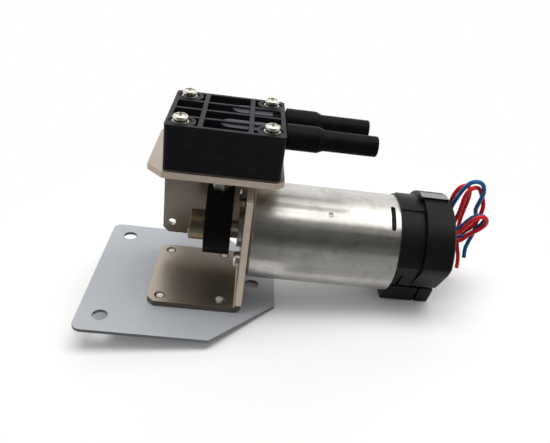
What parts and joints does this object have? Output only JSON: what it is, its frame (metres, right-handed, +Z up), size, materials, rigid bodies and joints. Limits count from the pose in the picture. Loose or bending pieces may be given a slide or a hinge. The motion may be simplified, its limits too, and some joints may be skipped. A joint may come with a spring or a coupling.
{
  "type": "diaphragm vacuum pump",
  "caption": "Motor-driven diaphragm vacuum pump: ribbed head with hose spouts on a folded bracket and base plate, eccentric, connecting rod and cylindrical DC motor.",
  "frame": {"origin": "on the base plate's underside, below the motor axis, level with the motor plate's pump-side face", "axes": "+X along the motor axis towards the rear cover, +Y to the back flange, +Z up"},
  "size_m": [0.1693, 0.08, 0.0851],
  "materials": {
    "zinc_plate": "satin",
    "nickel_plate": "satin",
    "bright_steel": "polished",
    "can_steel": "satin",
    "ferrite": "matte",
    "bearing_steel": "satin",
    "cap_plastic": "satin",
    "carbon": "matte",
    "spring_steel": "satin",
    "brass": "satin",
    "black_rubber": "matte",
    "hose_rubber": "satin",
    "red_insulation": "satin",
    "blue_insulation": "satin",
    "lamination_steel": "matte",
    "copper": "satin",
    "hub_metal": "satin",
    "black_oxide": "matte",
    "rod_plastic": "satin",
    "head_plastic": "satin"
  },
  "bodies": {
    "frame": {"base_plate": "zinc_plate", "foot_screws": "bright_steel", "bracket": "nickel_plate", "bracket_top": "nickel_plate", "motor_can": "can_steel", "motor_screws": "bright_steel", "magnets": "ferrite", "front_bearing": "bearing_steel", "rear_bearing": "bearing_steel", "brush_housing": "cap_plastic", "brushes": "carbon", "brush_springs": "spring_steel", "terminals": "brass", "rear_cover": "cap_plastic", "lead_grommet": "black_rubber", "lead_red": "red_insulation", "lead_blue": "blue_insulation", "diaphragm_housing": "head_plastic", "diaphragm": "black_rubber", "valve_plate": "head_plastic", "exhaust_valve": "black_rubber", "intake_valve": "black_rubber", "head_gasket": "black_rubber", "head_cover": "head_plastic", "head_screws": "bright_steel", "flat_washers": "bright_steel", "spring_washers": "spring_steel", "hose_front": "hose_rubber", "hose_rear": "hose_rubber"},
    "rotor": {"motor_shaft": "bright_steel", "armature_core": "lamination_steel", "windings": "copper", "commutator": "copper", "eccentric_hub": "hub_metal", "retaining_ring": "spring_steel", "set_screw": "black_oxide"},
    "rod": {"connecting_rod": "rod_plastic", "rod_bearing": "bearing_steel", "rod_stud": "bright_steel", "clamp_disc": "bright_steel", "clamp_screw": "bright_steel"}
  },
  "joints": [
    {"name": "motor_spin", "type": "hinge", "parent": "frame", "child": "rotor", "pos_m": [0, 0, 0.0316], "axis": [1, 0, 0], "continuous": true},
    {"name": "rod_swing", "type": "hinge", "parent": "rotor", "child": "rod", "pos_m": [-0.0105, 0, 0.0307], "axis": [1, 0, 0], "continuous": true, "deforming": ["diaphragm"]}
  ],
  "couplings": [
    {"joint": "rod_swing", "follows": "motor_spin", "ratio": -1}
  ]
}
